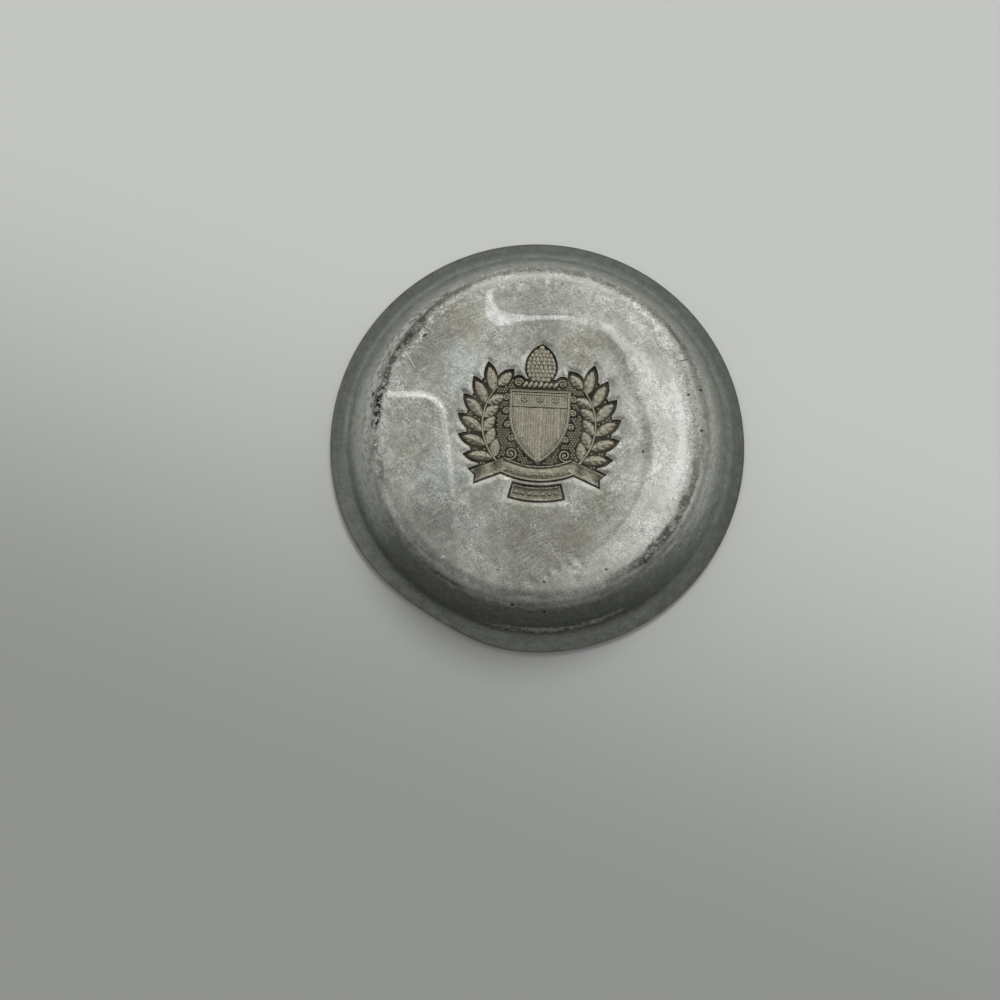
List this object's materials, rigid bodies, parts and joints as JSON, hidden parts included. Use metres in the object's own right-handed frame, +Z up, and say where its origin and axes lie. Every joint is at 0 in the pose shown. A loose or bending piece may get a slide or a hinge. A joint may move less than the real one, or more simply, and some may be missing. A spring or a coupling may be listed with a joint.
{
  "type": "pewter dish",
  "caption": "Small round pewter dish with a flared rim, lying face down; raised foot pads and a sunk relief badge of leaf sprays round a shield on its underside.",
  "frame": {"origin": "on the table, under the middle of the rim, with the dish lying face down on its rim", "axes": "+Z up, from the rim to the underside; +X and +Y lie in the rim plane, with +Y towards the top of the badge"},
  "size_m": [0.11, 0.11, 0.0162],
  "materials": {
    "pewter_dish": "dull cast pewter, hand planished, with a cloudy grey-brown tarnish and bright wear on the raised edges",
    "pewter_badge": "darkened struck pewter, brown-grey in the recesses and rubbed brighter on the relief"
  },
  "bodies": {
    "root": {"dish_shell": "pewter_dish", "badge_ground": "pewter_badge", "shield": "pewter_badge", "left_spray": "pewter_badge", "right_spray": "pewter_badge", "crest": "pewter_badge", "ribbon": "pewter_badge", "lower_scroll": "pewter_badge"}
  },
  "joints": []
}
